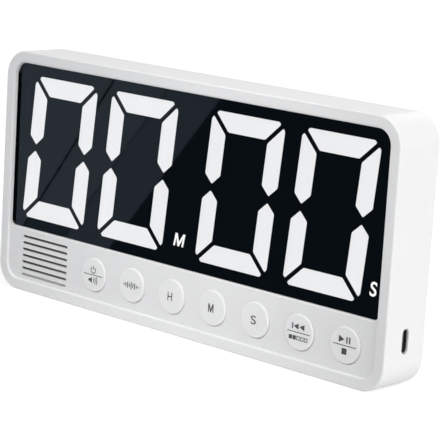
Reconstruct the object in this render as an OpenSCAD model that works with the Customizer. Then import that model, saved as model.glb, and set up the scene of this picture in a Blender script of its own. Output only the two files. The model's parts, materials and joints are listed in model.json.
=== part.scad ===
// Digital countdown timer: white moulded case, dark display window, push buttons and a folding stand.
// X runs to the right seen from the front, Y runs from front to back, Z is up.
// The origin is under the middle of the base. Depths are measured back from the front of the rim.

/* [Case] */
// Width of the case
body_w = 200; // [180:1:230]
// Height of the case
body_h = 96.5; // [87:0.5:120]
// Depth of the case from the rim to the back
body_d = 21.8; // [19.8:0.1:30]
// Corner radius of the case seen from the front
corner_r = 10.4; // [9:0.1:12]
// Radius of the outer front edge
front_edge_r = 0.7; // [0.4:0.1:1.6]
// Radius of the outer back edge
back_edge_r = 0.6; // [0.2:0.1:0.9]
// Thickness of the side walls
wall_t = 2.4; // [2:0.1:2.8]
// Thickness of the front wall behind the control strip
face_t = 2; // [1.5:0.1:2.4]
// Width of the raised front rim
rim_w = 4.65; // [4:0.05:5.4]
// Radius of the inner lip of the rim
lip_r = 0.8; // [0.3:0.1:0.9]
// Outer radius of the bosses that take the cover screws
boss_r = 2.7; // [2.4:0.1:3]
// Distance of those bosses from the inner walls
boss_in = 3.9; // [3.4:0.1:4.4]

/* [Control strip] */
// Height of the control strip
strip_h = 21; // [19:0.5:24]
// Depth of the strip behind the rim
strip_depth = 0.9; // [0.9:0.1:1.4]
// Radius of the strip's upper edge
strip_edge_r = 0.6; // [0.2:0.1:0.7]
// Thickness of the shelf between strip and window
shelf_t = 2; // [1.5:0.1:2.5]

/* [Display window] */
// Depth of the window behind the rim
window_depth = 1.9; // [1.6:0.1:2.4]
// Thickness of the window sheet
window_t = 1.2; // [1:0.1:2]
// Radius of the window's lower corners
window_low_r = 2.2; // [1.8:0.1:4]
// Clearance round the window
window_gap = 0.1; // [0.05:0.01:0.2]
// Thickness of the black film behind the window
mask_t = 0.2; // [0.1:0.05:0.4]
// Thickness of the adhesive frame
tape_t = 0.2; // [0.1:0.05:0.4]
// Width of the ledge that carries the window
ledge_w = 2; // [1.6:0.1:2.2]
// Thickness of the ledge
ledge_t = 1.5; // [1.2:0.1:2]
// Radius of the display opening's upper corners
opening_r = 7; // [6.5:0.1:8]

/* [Digits] */
// Distance of the digits from the window's upper edge
digit_above = 4.7; // [4:0.1:9]
// Distance of the digits from the window's lower edge
digit_below = 4.3; // [4:0.1:9]
// Distance of the outer digits from the window's ends, before the slant
digit_edge = 7.75; // [7.3:0.05:11]
// Gap between the digits of a pair
digit_gap = 8; // [7:0.1:11]
// Gap between the two pairs
pair_gap = 17.3; // [15.6:0.1:22]
// Height of a digit's level segments
bar_t = 7.35; // [5:0.05:8.5]
// Width of a digit's upright segments
upright_t = 7.55; // [5:0.05:9]
// Gap between neighbouring segments
segment_gap = 1.8; // [0.8:0.1:2.2]
// Blunt cut at a segment's outer tip
segment_tip = 1.8; // [0.4:0.1:2.2]
// Half the gap between an upper and a lower upright
upright_tip_z = 1.25; // [0.9:0.05:2]
// Length of an upright's pointed end
upright_point = 3.5; // [2.4:0.1:4]
// Lean of the digits in degrees
digit_slant = 5; // [0:0.5:6]
// Distance of the minute letter to the left of the middle
minute_shift = 2.1; // [1.4:0.1:3]
// Wall beside the second letter's cell at the end of the light box
second_wall = 0.4; // [0.3:0.05:0.6]
// Height of a unit letter's centre above the digits' foot
unit_rise = 6.2; // [4.6:0.1:10]
// Width of the minute letter's cell
minute_cell_w = 6.6; // [5:0.1:8]
// Width of the second letter's cell
second_cell_w = 3.4; // [2.6:0.1:3.6]
// Height of a letter's cell
unit_cell_h = 6.4; // [4:0.1:8]
// Clearance of a segment in its cell
cell_gap = 0.05; // [0.03:0.01:0.1]

/* [Light box] */
// Width of the light box's flange behind the ledge
flange_w = 1.5; // [1:0.1:1.7]
// Clearance of the light box in the opening
box_gap = 0.3; // [0.2:0.05:0.5]
// Distance of the two middle board screws from the digits' centre line
box_screw_rise = 10; // [8:0.5:14]
// Depth of the clear segment bodies
segment_d = 1.6; // [1:0.1:3]

/* [Buttons] */
// Diameter of a button cap
button_d = 13.4; // [12:0.1:15]
// Distance of the first button from the grille
button_lead = 15.9; // [14:0.1:18]
// Height of the button row above the base
button_z = 14.4; // [13.8:0.1:15.4]
// Distance of the last button from the rim
button_edge = 13.3; // [11:0.1:15]
// Height of a cap above the strip
button_proud = 0.7; // [0.4:0.05:0.8]
// Thickness of a cap's front and skirt
button_wall = 1.3; // [1:0.1:1.6]
// Radius of a cap's front edge
button_edge_r = 0.6; // [0.2:0.05:0.6]
// Clearance round a cap
button_gap = 0.2; // [0.2:0.05:0.4]
// Width of the flange behind the wall
button_flange = 1.1; // [0.8:0.1:1.3]
// Thickness of that flange
flange_t = 0.8; // [0.6:0.1:1.2]
// Free gap between flange and wall
flange_gap = 0.05; // [0.03:0.01:0.1]
// Press travel of a button
button_travel = 0.3; // [0.2:0.05:0.35]

/* [Switches] */
// Side of a switch housing
switch_w = 6; // [5:0.1:7]
// Height of a switch housing on the board
switch_h = 3.5; // [3:0.1:4]
// Radius of a switch plunger
plunger_r = 1.75; // [1.3:0.05:2]
// Reach of a plunger out of its housing
plunger_out = 1.5; // [1:0.1:2]
// Reach of a plunger into its housing
plunger_in = 0.6; // [0.5:0.1:1]
// Running clearance of a plunger
plunger_gap = 0.08; // [0.05:0.01:0.1]

/* [Speaker] */
// Number of grille slots
slot_count = 7; // [5:1:7]
// Length of a grille slot
slot_l = 26.7; // [22:0.1:27.4]
// Height of a grille slot
slot_h = 1; // [0.7:0.1:1.2]
// Distance between grille slots
slot_pitch = 2.6; // [2.2:0.1:2.7]
// Distance of the grille from the rim
grille_edge = 7.7; // [7:0.1:10]
// Thickness of the wall that the slots pass through
grille_t = 0.9; // [0.8:0.1:1.4]
// Length of the speaker
speaker_l = 30; // [28:0.5:31]
// Height of the speaker
speaker_h = 18; // [17:0.2:18.6]
// Clearance of the speaker in its fence
speaker_gap = 0.2; // [0.1:0.05:0.4]
// Wall of the speaker's fence
fence_t = 1.2; // [0.8:0.1:1.5]
// Thickness of the dust cloth
cloth_t = 0.2; // [0.1:0.05:0.4]
// Glue line between the grille wall and the dust cloth
cloth_glue = 0.05; // [0.02:0.01:0.1]
// Thickness of the foam gasket
gasket_t = 0.6; // [0.4:0.1:1]
// Width of the speaker's seating ring
speaker_ring = 2.4; // [2:0.1:3]
// Depth of the speaker's basket
basket_d = 4.8; // [4:0.1:5]
// Floor of the speaker's basket
basket_floor_t = 1; // [0.6:0.1:1.2]
// Radius of the magnet's neck in the basket
magnet_neck_r = 4.5; // [3:0.1:4.8]
// Radius of the speaker magnet
magnet_cup_r = 6.5; // [5:0.1:7]
// Room between the speaker magnet and the board
magnet_room = 1; // [0.6:0.1:1.5]
// Radius of a lead's insulation
lead_r = 0.5; // [0.3:0.05:0.7]

/* [Charging socket] */
// Height of the socket above the base
usb_z = 18.2; // [17:0.1:20]
// Length of the opening in the case
usb_slot_l = 9.2; // [9.1:0.1:10]
// Width of the opening in the case
usb_slot_w = 3.5; // [3.4:0.1:4]
// Length of the socket's metal shell
usb_l = 8.94; // [8.94:0.01:9]
// Width of the socket's metal shell
usb_w = 3.2; // [3.16:0.01:3.26]
// Reach of the socket along X
usb_reach = 7.3; // [6.5:0.1:8]
// Wall of the metal shell
usb_wall = 0.3; // [0.2:0.05:0.4]
// Depth of the shell's mouth inside the case's side
usb_recess = 0.5; // [0.4:0.1:1.5]

/* [Board] */
// Thickness of the circuit board
board_t = 1.6; // [1:0.1:1.6]
// Clearance of the board to the side walls
board_gap = 0.6; // [0.4:0.1:1]
// Radius of the board's mounting posts
post_r = 2.2; // [1.8:0.1:2.4]
// Radius of a board screw's shank
board_screw_r = 0.9; // [0.7:0.05:1.1]
// Length of a board screw's shank
board_screw_l = 5.5; // [4:0.1:6.5]
// Radius of a board screw's head
board_head_r = 2; // [1.6:0.1:2.2]
// Height of a board screw's head
board_head_h = 1.2; // [0.8:0.1:1.3]
// Clearance of a screw in its hole
screw_gap = 0.1; // [0.05:0.01:0.2]
// Depth of a screw hole past the screw's tip
hole_spare = 0.5; // [0.3:0.1:0.8]
// Length of the controller chip
chip_l = 18; // [12:0.5:20]
// Length of a display driver chip
driver_l = 12.6; // [10:0.2:15]
// Width of these chips
chip_w = 7.5; // [5:0.1:8]
// Height of these chips
chip_h = 2.3; // [1.5:0.1:2.6]
// Leads on each side of the controller
chip_pins = 14; // [8:1:20]
// Leads on each side of a driver
driver_pins = 10; // [6:1:14]
// Distance of the controller's centre from the left wall
chip_edge = 31; // [26:0.5:36]
// Distance of each driver from the controller, sideways
driver_spread = 14; // [10:0.5:16]
// Distance of the drivers below the controller
driver_drop = 25; // [16:0.5:28]
// Length of the charging chip
charge_l = 5; // [4:0.1:6]
// Width of the charging chip
charge_w = 4; // [3:0.1:5]
// Height of the charging chip
charge_h = 1.6; // [1:0.1:2]
// Leads on each side of the charging chip
charge_pins = 4; // [3:1:5]
// Distance of the charging chip from the socket
charge_gap = 8; // [6:0.5:14]
// Length of the crystal's can
crystal_l = 10.8; // [8:0.2:12]
// Width of the crystal's can
crystal_w = 4.6; // [3:0.1:5]
// Distance of the crystal above the controller
crystal_rise = 14; // [10:0.5:18]
// Radius of a capacitor can
can_r = 2.5; // [1.5:0.1:3]
// Room between a capacitor can and the rear cover
can_room = 0.9; // [0.5:0.1:1.5]
// Distance between the capacitors
can_pitch = 8; // [7:0.5:10]
// Distance of the first capacitor from the board screw beside it
can_gap = 12; // [8:0.5:14]

/* [Battery] */
// Room between the cell and the board screw beside it
cell_side = 3.9; // [2:0.1:8]
// Height of the cell
cell_h = 30; // [24:0.5:34]
// Room for swelling between the cell and the rear cover
cell_room = 0.5; // [0.3:0.1:1.2]
// Distance of the cell from the side wall
cell_edge = 3.6; // [3:0.1:6]
// Thickness of its adhesive pad
pad_t = 0.3; // [0.2:0.05:0.5]
// Length of the free leads
battery_lead_l = 8; // [6:0.5:9]
// Distance of the first lead from the cell's lower edge
lead_in = 4; // [3:0.5:8]
// Distance between the two leads
lead_pitch = 3; // [2:0.1:4]
// Width of the battery socket
socket_w = 5; // [4:0.1:6]
// Room between the battery socket and the rear cover
socket_room = 1.3; // [0.8:0.1:1.6]
// Wall of the battery socket beside its leads
socket_wall = 2.4; // [1:0.1:3]

/* [Rear cover] */
// Thickness of the rear cover
cover_t = 2.4; // [2.2:0.1:2.6]
// Clearance round the cover
cover_gap = 0.15; // [0.1:0.05:0.3]
// Width of the step in the case wall that carries the cover
step_w = 1.2; // [0.8:0.1:1.4]
// Radius of a cover screw's shank
cover_screw_r = 1.1; // [0.9:0.05:1.2]
// Length of a cover screw's shank
cover_screw_l = 9; // [7:0.5:10]
// Radius of a cover screw's head
cover_head_r = 2.2; // [1.8:0.1:2.3]
// Height of a cover screw's head
cover_head_h = 1.2; // [1:0.1:1.3]
// Radius of a magnet
disc_r = 5; // [4:0.5:6]
// Thickness of a magnet
disc_t = 2; // [1.5:0.1:2.2]
// Distance of the magnets from the case's edges
disc_edge = 17; // [14:0.5:20]
// Floor thickness of pockets in the cover
floor_t = 1.2; // [1:0.1:1.3]
// Radius of the keyhole's entry for a wall screw's head
keyhole_r = 4; // [3:0.1:4.5]
// Half width of the keyhole's narrow slot
keyhole_slot_r = 2; // [1.5:0.1:2]
// Rise of the keyhole's slot
keyhole_rise = 7; // [6:0.5:8]
// Distance of the keyhole's entry from the top
keyhole_top = 18; // [17:0.5:18.5]
// Room round the screw's head behind the keyhole
keyhole_room = 0.8; // [0.5:0.1:1]
// Depth of the space behind the keyhole
keyhole_d = 2.6; // [2:0.1:2.8]

/* [Folding stand] */
// Width of the stand
stand_w = 60; // [50:1:62]
// Distance of the stand's axis from the top of the case
stand_top = 38.5; // [38:0.1:44]
// Height of the folded stand's tip above the base
stand_foot = 12; // [11:0.5:18]
// Thickness of the stand's leaf
leaf_t = 2.8; // [2.2:0.1:3]
// Radius of the stand's barrel
barrel_r = 2.2; // [2:0.1:2.3]
// Radius of the hinge pin
pin_r = 1; // [0.8:0.05:1.1]
// Running clearance of the pin
pin_gap = 0.06; // [0.03:0.01:0.1]
// Reach of the pin into each ear
pin_reach = 2.8; // [2:0.1:3]
// Clearance round the stand in its pocket
stand_gap = 0.4; // [0.3:0.05:0.5]
// Distance of the barrel's crest below the cover's face
stand_sunk = 0.2; // [0.1:0.05:0.4]
// Distance of the leaf's face below the barrel's crest
leaf_sunk = 0.2; // [0.1:0.05:0.4]
// Width of the heel that stops the stand when it is open
heel_w = 8; // [5:0.5:14]
// Half thickness of the heel
heel_half = 0.7; // [0.5:0.05:0.8]
// Reach of the heel past the barrel
heel_rise = 0.65; // [0.5:0.05:0.7]
// Radius of the leaf's lower corners
leaf_r = 4; // [2:0.5:6]
// Thickness of the leaf's skin over its cored inside
leaf_skin = 1.5; // [1.2:0.1:1.8]
// Thickness of the ribs inside the leaf
leaf_rib = 2; // [1.5:0.1:3]
// Radius of the finger scoop
scoop_r = 7; // [5:0.5:7]

/* [Hidden] */
$fn = 64;
BUTTONS = ["power", "sound", "hours", "minutes", "seconds", "reset", "start"];
DIGITS = ["digit_minutes_tens", "digit_minutes_units", "digit_seconds_tens", "digit_seconds_units"];
button_count = len(BUTTONS);

// Small overshoot for cuts that break through a surface
over = 0.5;
case_white = [0.93, 0.93, 0.94];

// Outline inside the rim
inner_w = body_w - 2 * rim_w;
inner_h = body_h - 2 * rim_w;
inner_r = corner_r - rim_w;
strip_top = rim_w + strip_h;
window_top = body_h - rim_w;
box_half = inner_w / 2 - ledge_w - box_gap;

// Size of a digit, from the window and the gaps
digit_h = window_top - strip_top - digit_above - digit_below;
digit_w = (inner_w - 2 * digit_edge - 2 * digit_gap - pair_gap) / 4;

// Depths of the front stack
face_in = strip_depth + face_t;
grille_in = strip_depth + grille_t;
window_back = window_depth + window_t;
mask_back = window_back + mask_t;
ledge_front = mask_back + tape_t;
ledge_back = ledge_front + ledge_t;
usb_depth = body_d / 2;
board_front = usb_depth + usb_w / 2;
board_back = board_front + board_t;
box_front = mask_back + cell_gap;

// Depths of the back stack
cover_in = body_d - cover_t;
leaf_out = body_d - stand_sunk - leaf_sunk;
leaf_in = leaf_out - leaf_t;
axis_d = body_d - stand_sunk - barrel_r;
leaf_floor = leaf_in - stand_gap / 2;
barrel_floor = axis_d - barrel_r - stand_gap;

// Places across the front
display_z = strip_top + digit_below + digit_h / 2;
inner_digit_x = (pair_gap + digit_w) / 2;
outer_digit_x = inner_digit_x + digit_w + digit_gap;
digit_x = [-outer_digit_x, -inner_digit_x, inner_digit_x, outer_digit_x];
grille_x = grille_edge + slot_l / 2 - inner_w / 2;
first_button_x = grille_x + slot_l / 2 + button_lead;
button_pitch = (inner_w / 2 - button_edge - first_button_x) / (button_count - 1);
button_x = [for (i = [0 : button_count - 1]) first_button_x + i * button_pitch];
post_x = [for (i = [0, 3, 5]) button_x[i] + button_pitch / 2];
post_z = button_z + button_d / 2 - post_r / 2;
grille_z = button_z;
boss_x = body_w / 2 - wall_t - boss_in;
boss_z = [wall_t + boss_in, body_h - wall_t - boss_in];
flange_r = button_d / 2 + button_flange;
usb_mouth = body_w / 2 - usb_recess;
usb_end = usb_mouth - usb_reach;

// Screws that hold the board to the light box
gap_x = (inner_digit_x + outer_digit_x) / 2;
box_screws = concat(
  [for (s = [-1, 1]) [s * gap_x, display_z]],
  [for (s = [-1, 1]) [0, display_z + s * box_screw_rise]]
);
posts = [for (x = post_x) [x, post_z]];

// Battery and its socket behind the board
cell_right = body_w / 2 - wall_t - cell_edge;
cell_left = gap_x + board_head_r + cell_side;
cell_l = cell_right - cell_left;
cell_x = (cell_left + cell_right) / 2;
cell_z = body_h / 2;
cell_front = board_back + pad_t;
cell_t = cover_in - cell_room - cell_front;
socket_x = cell_left - battery_lead_l - socket_w / 2;
lead_z = [for (i = [0, 1]) cell_z - cell_h / 2 + lead_in + i * lead_pitch];
lead_depth = cell_front + cell_t / 2;

// Segment geometry, with the mitre's shift for a gap and the slope of an upright's point
half_w = digit_w / 2;
half_h = digit_h / 2;
mitre = sqrt(upright_t * upright_t + bar_t * bar_t);
slope = upright_point / (upright_t / 2);
slope_length = sqrt(1 + slope * slope);

function lean(p) = [p[0] + tan(digit_slant) * p[1], p[1]];
function flipped(pts, sx, sz) = [for (p = pts) [sx * p[0], sz * p[1]]];

// Level segment at the top of a digit, grown on every side by g
function bar_points(g) =
  let (
    shift = (segment_gap / 2 - g) * mitre,
    outer = half_w - shift / bar_t,
    tip = segment_tip - g,
    right = [
      [outer - tip + g * upright_t / bar_t, half_h + g],
      [outer - tip * upright_t / bar_t / 2, half_h - tip / 2],
      [half_w - upright_t - shift / bar_t - g * upright_t / bar_t, half_h - bar_t - g]
    ]
  )
  concat(right, [for (i = [2 : -1 : 0]) [-right[i][0], right[i][1]]]);

// Upright segment at the upper right of a digit, grown on every side by g
function upright_points(g) =
  let (
    shift = (segment_gap / 2 - g) * mitre / upright_t,
    tip = segment_tip - g,
    low = upright_tip_z - g * slope_length,
    shoulder = low + slope * (upright_t / 2 + g)
  )
  [
    [half_w + g, shoulder],
    [half_w + g, half_h - shift - tip + g * bar_t / upright_t],
    [half_w - tip / 2, half_h - shift - tip * bar_t / upright_t / 2],
    [half_w - upright_t - g, half_h - bar_t - shift - g * bar_t / upright_t],
    [half_w - upright_t - g, shoulder],
    [half_w - upright_t / 2, low]
  ];

// Level segment across the middle of a digit, grown on every side by g
function middle_points(g) =
  let (
    tip = half_w - upright_t / 2 - segment_gap + g * slope_length / slope,
    rise = bar_t / 2 + g,
    shoulder = tip - rise / slope
  )
  [[tip, 0], [shoulder, rise], [-shoulder, rise], [-tip, 0], [-shoulder, -rise], [shoulder, -rise]];

// Places of the unit letters
unit_z = display_z - half_h + unit_rise;
unit_cells = [
  [-minute_shift, minute_cell_w],
  [box_half - second_wall - second_cell_w / 2, second_cell_w]
];

// Flat shapes, seen from the front: X to the right and Z up
module rounded(w, h, r) {
  square([w - 2 * r, h], center = true);
  square([w, h - 2 * r], center = true);
  for (sx = [-1, 1], sz = [-1, 1])
    translate([sx * (w / 2 - r), sz * (h / 2 - r)]) circle(r);
}

module body_outline(inset) {
  translate([0, body_h / 2]) rounded(body_w - 2 * inset, body_h - 2 * inset, corner_r - inset);
}

module frame_outline(half, z0, z1, r_low, r_top) {
  translate([-half, z0 + r_low]) square([2 * half, z1 - z0 - r_low - r_top]);
  translate([r_low - half, z0]) square([2 * (half - r_low), r_low + over]);
  translate([r_top - half, z1 - r_top - over]) square([2 * (half - r_top), r_top + over]);
  for (s = [-1, 1]) {
    translate([s * (half - r_low), z0 + r_low]) circle(r_low);
    translate([s * (half - r_top), z1 - r_top]) circle(r_top);
  }
}

module window_outline(inset) {
  frame_outline(
    inner_w / 2 - inset, strip_top + inset, window_top - inset, window_low_r - inset, inner_r - inset
  );
}

module opening_outline(inset) {
  frame_outline(
    inner_w / 2 - ledge_w - inset, strip_top + ledge_w + inset, window_top - ledge_w - inset,
    window_low_r - ledge_w / 2 - inset / 2, opening_r - inset
  );
}

module racetrack(l, h) {
  square([l - h, h], center = true);
  for (s = [-1, 1])
    translate([s * (l - h) / 2, 0]) circle(h / 2);
}

module lit_segments(k, g) {
  translate([digit_x[k], display_z]) {
    for (s = [-1, 1])
      polygon([for (p = flipped(bar_points(g), 1, s)) lean(p)]);
    for (sx = [-1, 1], sz = [-1, 1])
      polygon([for (p = flipped(upright_points(g), sx, sz)) lean(p)]);
  }
}

module middle_segment(k, g) {
  translate([digit_x[k], display_z]) polygon([for (p = middle_points(g)) lean(p)]);
}

module unit_shapes(g) {
  for (c = unit_cells)
    translate([c[0], unit_z]) square([c[1] + 2 * g, unit_cell_h + 2 * g], center = true);
}

module display_cells(g) {
  for (k = [0 : 3]) {
    lit_segments(k, g);
    middle_segment(k, g);
  }
}

// Extrudes a flat shape from one depth to another
module slab(d0, d1) {
  translate([0, d1 - body_d / 2, 0]) rotate([90, 0, 0]) linear_extrude(d1 - d0) children();
}

// Turns a profile of radius and depth about a front-to-back axis
module turned_about(x, z) {
  translate([x, -body_d / 2, z]) rotate([-90, 0, 0]) rotate_extrude() children();
}

// Round rod along the depth
module rod(x, z, d0, d1, r) {
  slab(d0, d1) translate([x, z]) circle(r);
}

// Round rod along X
module cross_rod(x0, x1, depth, z, r) {
  translate([x0, depth - body_d / 2, z]) rotate([0, 90, 0]) cylinder(h = x1 - x0, r = r);
}

// Block given by its X span, depth span and Z span
module block(x0, x1, d0, d1, z0, z1) {
  translate([x0, d0 - body_d / 2, z0]) cube([x1 - x0, d1 - d0, z1 - z0]);
}

// Carries a profile of outward offset and depth round a rounded rectangle of the case
module carried_round(w, h, r, x = 0, z = body_h / 2) {
  signs = [[1, 1], [-1, 1], [-1, -1], [1, -1]];
  translate([x, -body_d / 2, z])
    for (k = [0 : 3]) {
      across = k % 2 == 0;
      reach = (across ? w : h) / 2;
      run = (across ? h : w) - 2 * r;
      rotate([0, -90 * k, 0]) translate([reach, 0, -run / 2]) linear_extrude(run) children();
      translate([signs[k][0] * (w / 2 - r), 0, signs[k][1] * (h / 2 - r)])
        rotate([0, -90 * k, 0]) rotate([90, 0, 0])
          rotate_extrude(angle = 90) mirror([0, 1]) translate([r, 0]) children();
    }
}

// Case body with rounded front and back edges
module case_block() {
  carried_round(body_w, body_h, corner_r) {
    union() {
      translate([-corner_r, front_edge_r]) square([corner_r, body_d - front_edge_r - back_edge_r]);
      translate([-corner_r, 0]) square([corner_r - front_edge_r, body_d / 2]);
      translate([-corner_r, body_d / 2]) square([corner_r - back_edge_r, body_d / 2]);
      translate([-front_edge_r, front_edge_r]) circle(front_edge_r);
      translate([-back_edge_r, body_d - back_edge_r]) circle(back_edge_r);
    }
  }
  block(corner_r - body_w / 2, body_w / 2 - corner_r, 0, body_d, corner_r, body_h - corner_r);
}

// Space inside the rim, with its rounded lip
module rim_recess() {
  slab(-over, strip_depth) body_outline(rim_w);
  carried_round(inner_w, inner_h, inner_r)
    difference() {
      translate([-inner_r / 2, -over]) square([inner_r / 2 + lip_r, over + lip_r]);
      translate([lip_r, lip_r]) circle(lip_r);
    }
}

// Rounded upper edge of the control strip
module strip_edge() {
  run = inner_w - 2 * window_low_r;
  translate([-run / 2, strip_depth - body_d / 2, strip_top])
    rotate([90, 0, 90]) linear_extrude(run)
      difference() {
        translate([-over, -strip_edge_r]) square([strip_edge_r + over, strip_edge_r + over]);
        translate([strip_edge_r, -strip_edge_r]) circle(strip_edge_r);
      }
}

module grille_slots() {
  slab(strip_depth - over, grille_in + over)
    for (i = [0 : slot_count - 1])
      translate([grille_x, grille_z + (i - (slot_count - 1) / 2) * slot_pitch]) racetrack(slot_l, slot_h);
}

module speaker_place(d0, d1) {
  slab(d0, d1) translate([grille_x, grille_z]) children();
}

// Moulded front housing
module front_case() {
  color(case_white)
    difference() {
      union() {
        difference() {
          case_block();
          rim_recess();
          strip_edge();
          slab(strip_depth - over, ledge_front) window_outline(0);
          slab(ledge_front - over, ledge_back + over) opening_outline(0);
          slab(face_in, ledge_back + over)
            translate([0, (rim_w + strip_top - shelf_t) / 2])
              rounded(inner_w, strip_h - shelf_t, inner_r / 2);
          speaker_place(grille_in, ledge_back + over)
            racetrack(speaker_l + 2 * speaker_gap, speaker_h + 2 * speaker_gap);
          for (x = button_x)
            rod(x, button_z, face_in, ledge_back + over, flange_r + button_gap);
          slab(ledge_back, body_d + over) body_outline(wall_t);
          slab(cover_in, body_d + over) body_outline(wall_t - step_w);
        }
        for (s = [-1, 1]) {
          rod(s * boss_x, boss_z[0], face_in - over, cover_in, boss_r);
          rod(s * boss_x, boss_z[1], ledge_back - over, cover_in, boss_r);
        }
        for (p = posts)
          rod(p[0], p[1], face_in - over, board_front, post_r);
        speaker_place(face_in - over, speaker_front + speaker_ring)
          difference() {
            racetrack(speaker_l + 2 * (speaker_gap + fence_t), speaker_h + 2 * (speaker_gap + fence_t));
            racetrack(speaker_l + 2 * speaker_gap, speaker_h + 2 * speaker_gap);
          }
      }
      grille_slots();
      for (x = button_x)
        rod(x, button_z, strip_depth - over, face_in + over, button_d / 2 + button_gap);
      translate([body_w / 2 - wall_t - over, usb_depth - body_d / 2, usb_z])
        rotate([90, 0, 90]) linear_extrude(wall_t + 2 * over) rotate(90) racetrack(usb_slot_l, usb_slot_w);
      for (s = [-1, 1], z = boss_z)
        rod(s * boss_x, z, cover_in - cover_screw_l, cover_in + over, cover_screw_r + screw_gap);
      for (p = posts)
        rod(
          p[0], p[1], board_back - board_screw_l - hole_spare, board_front + over, board_screw_r + screw_gap
        );
    }
}

// Cross-head screw standing on its head, at a place on the back
module screw(x, z, head_depth, head_r, head_h, shank_r, shank_l) {
  difference() {
    union() {
      rod(x, z, head_depth, head_depth + head_h, head_r);
      rod(x, z, head_depth - shank_l, head_depth, shank_r);
    }
    for (a = [0, 90])
      slab(head_depth + head_h * 0.4, head_depth + head_h + over)
        translate([x, z]) rotate(a) square([head_r * 1.2, head_r * 0.3], center = true);
  }
}

module cover_screws() {
  color("silver")
    for (s = [-1, 1], z = boss_z)
      screw(
        s * boss_x, z, body_d - cover_head_h - screw_gap, cover_head_r, cover_head_h, cover_screw_r,
        cover_screw_l - screw_gap
      );
}

module board_screws() {
  color("silver")
    for (p = concat(posts, box_screws))
      screw(p[0], p[1], board_back, board_head_r, board_head_h, board_screw_r, board_screw_l);
}

module display_window() {
  color([0.1, 0.11, 0.12, 0.6]) slab(window_depth, window_back) window_outline(window_gap);
}

module segment_mask() {
  color("black")
    slab(window_back, mask_back)
      difference() {
        window_outline(window_gap);
        display_cells(cell_gap);
      }
}

module window_tape() {
  color("dimgray")
    slab(mask_back, ledge_front)
      difference() {
        window_outline(2 * window_gap);
        opening_outline(0);
      }
}

module digit(k) {
  color("white") slab(window_back, window_back + segment_d) lit_segments(k, 0);
}

module middle_bars() {
  color([0.15, 0.15, 0.16])
    slab(window_back, window_back + segment_d)
      for (k = [0 : 3])
        middle_segment(k, 0);
}

module unit_lenses() {
  color("white") slab(mask_back, mask_back + segment_d) unit_shapes(0);
}

// Reflector block with one cell for each segment and letter
module light_box() {
  color("whitesmoke")
    difference() {
      union() {
        slab(box_front, ledge_back + over) opening_outline(box_gap);
        slab(ledge_back, board_front) opening_outline(-flange_w);
      }
      slab(box_front - over, board_front + over) {
        display_cells(cell_gap);
        unit_shapes(cell_gap);
      }
      for (s = [-1, 1])
        rod(s * boss_x, boss_z[1], ledge_back - over, board_front + over, boss_r + box_gap);
      for (p = box_screws)
        rod(
          p[0], p[1], board_back - board_screw_l - hole_spare, board_front + over, board_screw_r + screw_gap
        );
    }
}

// Circuit board with notches for the cover bosses
module main_board() {
  edge = wall_t + board_gap;
  notch = boss_in - board_gap + boss_r + box_gap;
  color("darkgreen")
    slab(board_front, board_back)
      difference() {
        translate([edge - body_w / 2, edge]) square([body_w - 2 * edge, body_h - 2 * edge]);
        for (sx = [-1, 1], sz = [-1, 1])
          translate([sx * (body_w / 2 - edge), body_h / 2 + sz * (body_h / 2 - edge)])
            square(2 * notch, center = true);
        for (p = concat(posts, box_screws))
          translate(p) circle(board_screw_r + screw_gap);
      }
}

// Small light on the front of the board
module led(x, z) {
  led_l = 1.6;
  led_w = 0.8;
  led_h = 0.8;
  slab(board_front - led_h, board_front) translate([x, z]) square([led_l, led_w], center = true);
}

module segment_leds() {
  upright_z = (half_h - bar_t / 2 + upright_tip_z) / 2;
  places = concat(
    [for (s = [-1, 1], u = [-1, 1]) [u * digit_w / 8, s * (half_h - bar_t / 2)]],
    [for (u = [-1, 1]) [u * digit_w / 8, 0]],
    [for (sx = [-1, 1], sz = [-1, 1], u = [-1, 1])
      [sx * (half_w - upright_t / 2), sz * (upright_z + u * upright_t / 2)]]
  );
  color("khaki") {
    for (x = digit_x, p = places)
      led(x + lean(p)[0], display_z + p[1]);
    for (c = unit_cells)
      led(c[0], unit_z);
  }
}

// Chip package with leads along its two long sides, on the back of the board
module chip(x, z, l, w, h, pins) {
  lead_w = 0.4;
  lead_out = 1;
  slab(board_back, board_back + h) translate([x, z]) square([l, w], center = true);
  for (i = [0 : pins - 1], s = [-1, 1])
    slab(board_back, board_back + h / 2)
      translate([x + (i - (pins - 1) / 2) * l / pins, z + s * (w + lead_out) / 2])
        square([lead_w, lead_out], center = true);
}

chip_x = wall_t + chip_edge - body_w / 2;

module controller_chip() {
  color("black") chip(chip_x, display_z, chip_l, chip_w, chip_h, chip_pins);
}

module driver_chips() {
  color("black")
    for (s = [-1, 1])
      chip(chip_x + s * driver_spread, display_z - driver_drop, driver_l, chip_w, chip_h, driver_pins);
}

module charge_chip() {
  color("black") chip(usb_end - charge_gap, usb_z, charge_l, charge_w, charge_h, charge_pins);
}

// Low metal can of the clock crystal
module crystal_can() {
  color("silver")
    slab(board_back, board_back + chip_h)
      translate([chip_x, display_z + crystal_rise]) racetrack(crystal_l, crystal_w);
}

// Round cans on square bases
module board_capacitors() {
  base_t = 0.9;
  color("slategray")
    for (i = [0, 1]) {
      x = post_x[0] - can_gap - i * can_pitch;
      rod(x, post_z, board_back, cover_in - can_room, can_r);
      slab(board_back, board_back + base_t) translate([x, post_z]) square(2 * can_r + base_t, center = true);
    }
}

// Charging socket: metal shell and its tongue
module usb_shape(d) {
  rotate(90) racetrack(usb_l - 2 * d, usb_w - 2 * d);
}

module usb_place(x0, x1) {
  translate([x0, usb_depth - body_d / 2, usb_z]) rotate([90, 0, 90]) linear_extrude(x1 - x0) children();
}

module usb_shell() {
  color("silver")
    difference() {
      usb_place(usb_end, usb_mouth) usb_shape(0);
      usb_place(usb_end + usb_wall, usb_mouth + over) usb_shape(usb_wall);
    }
}

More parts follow.
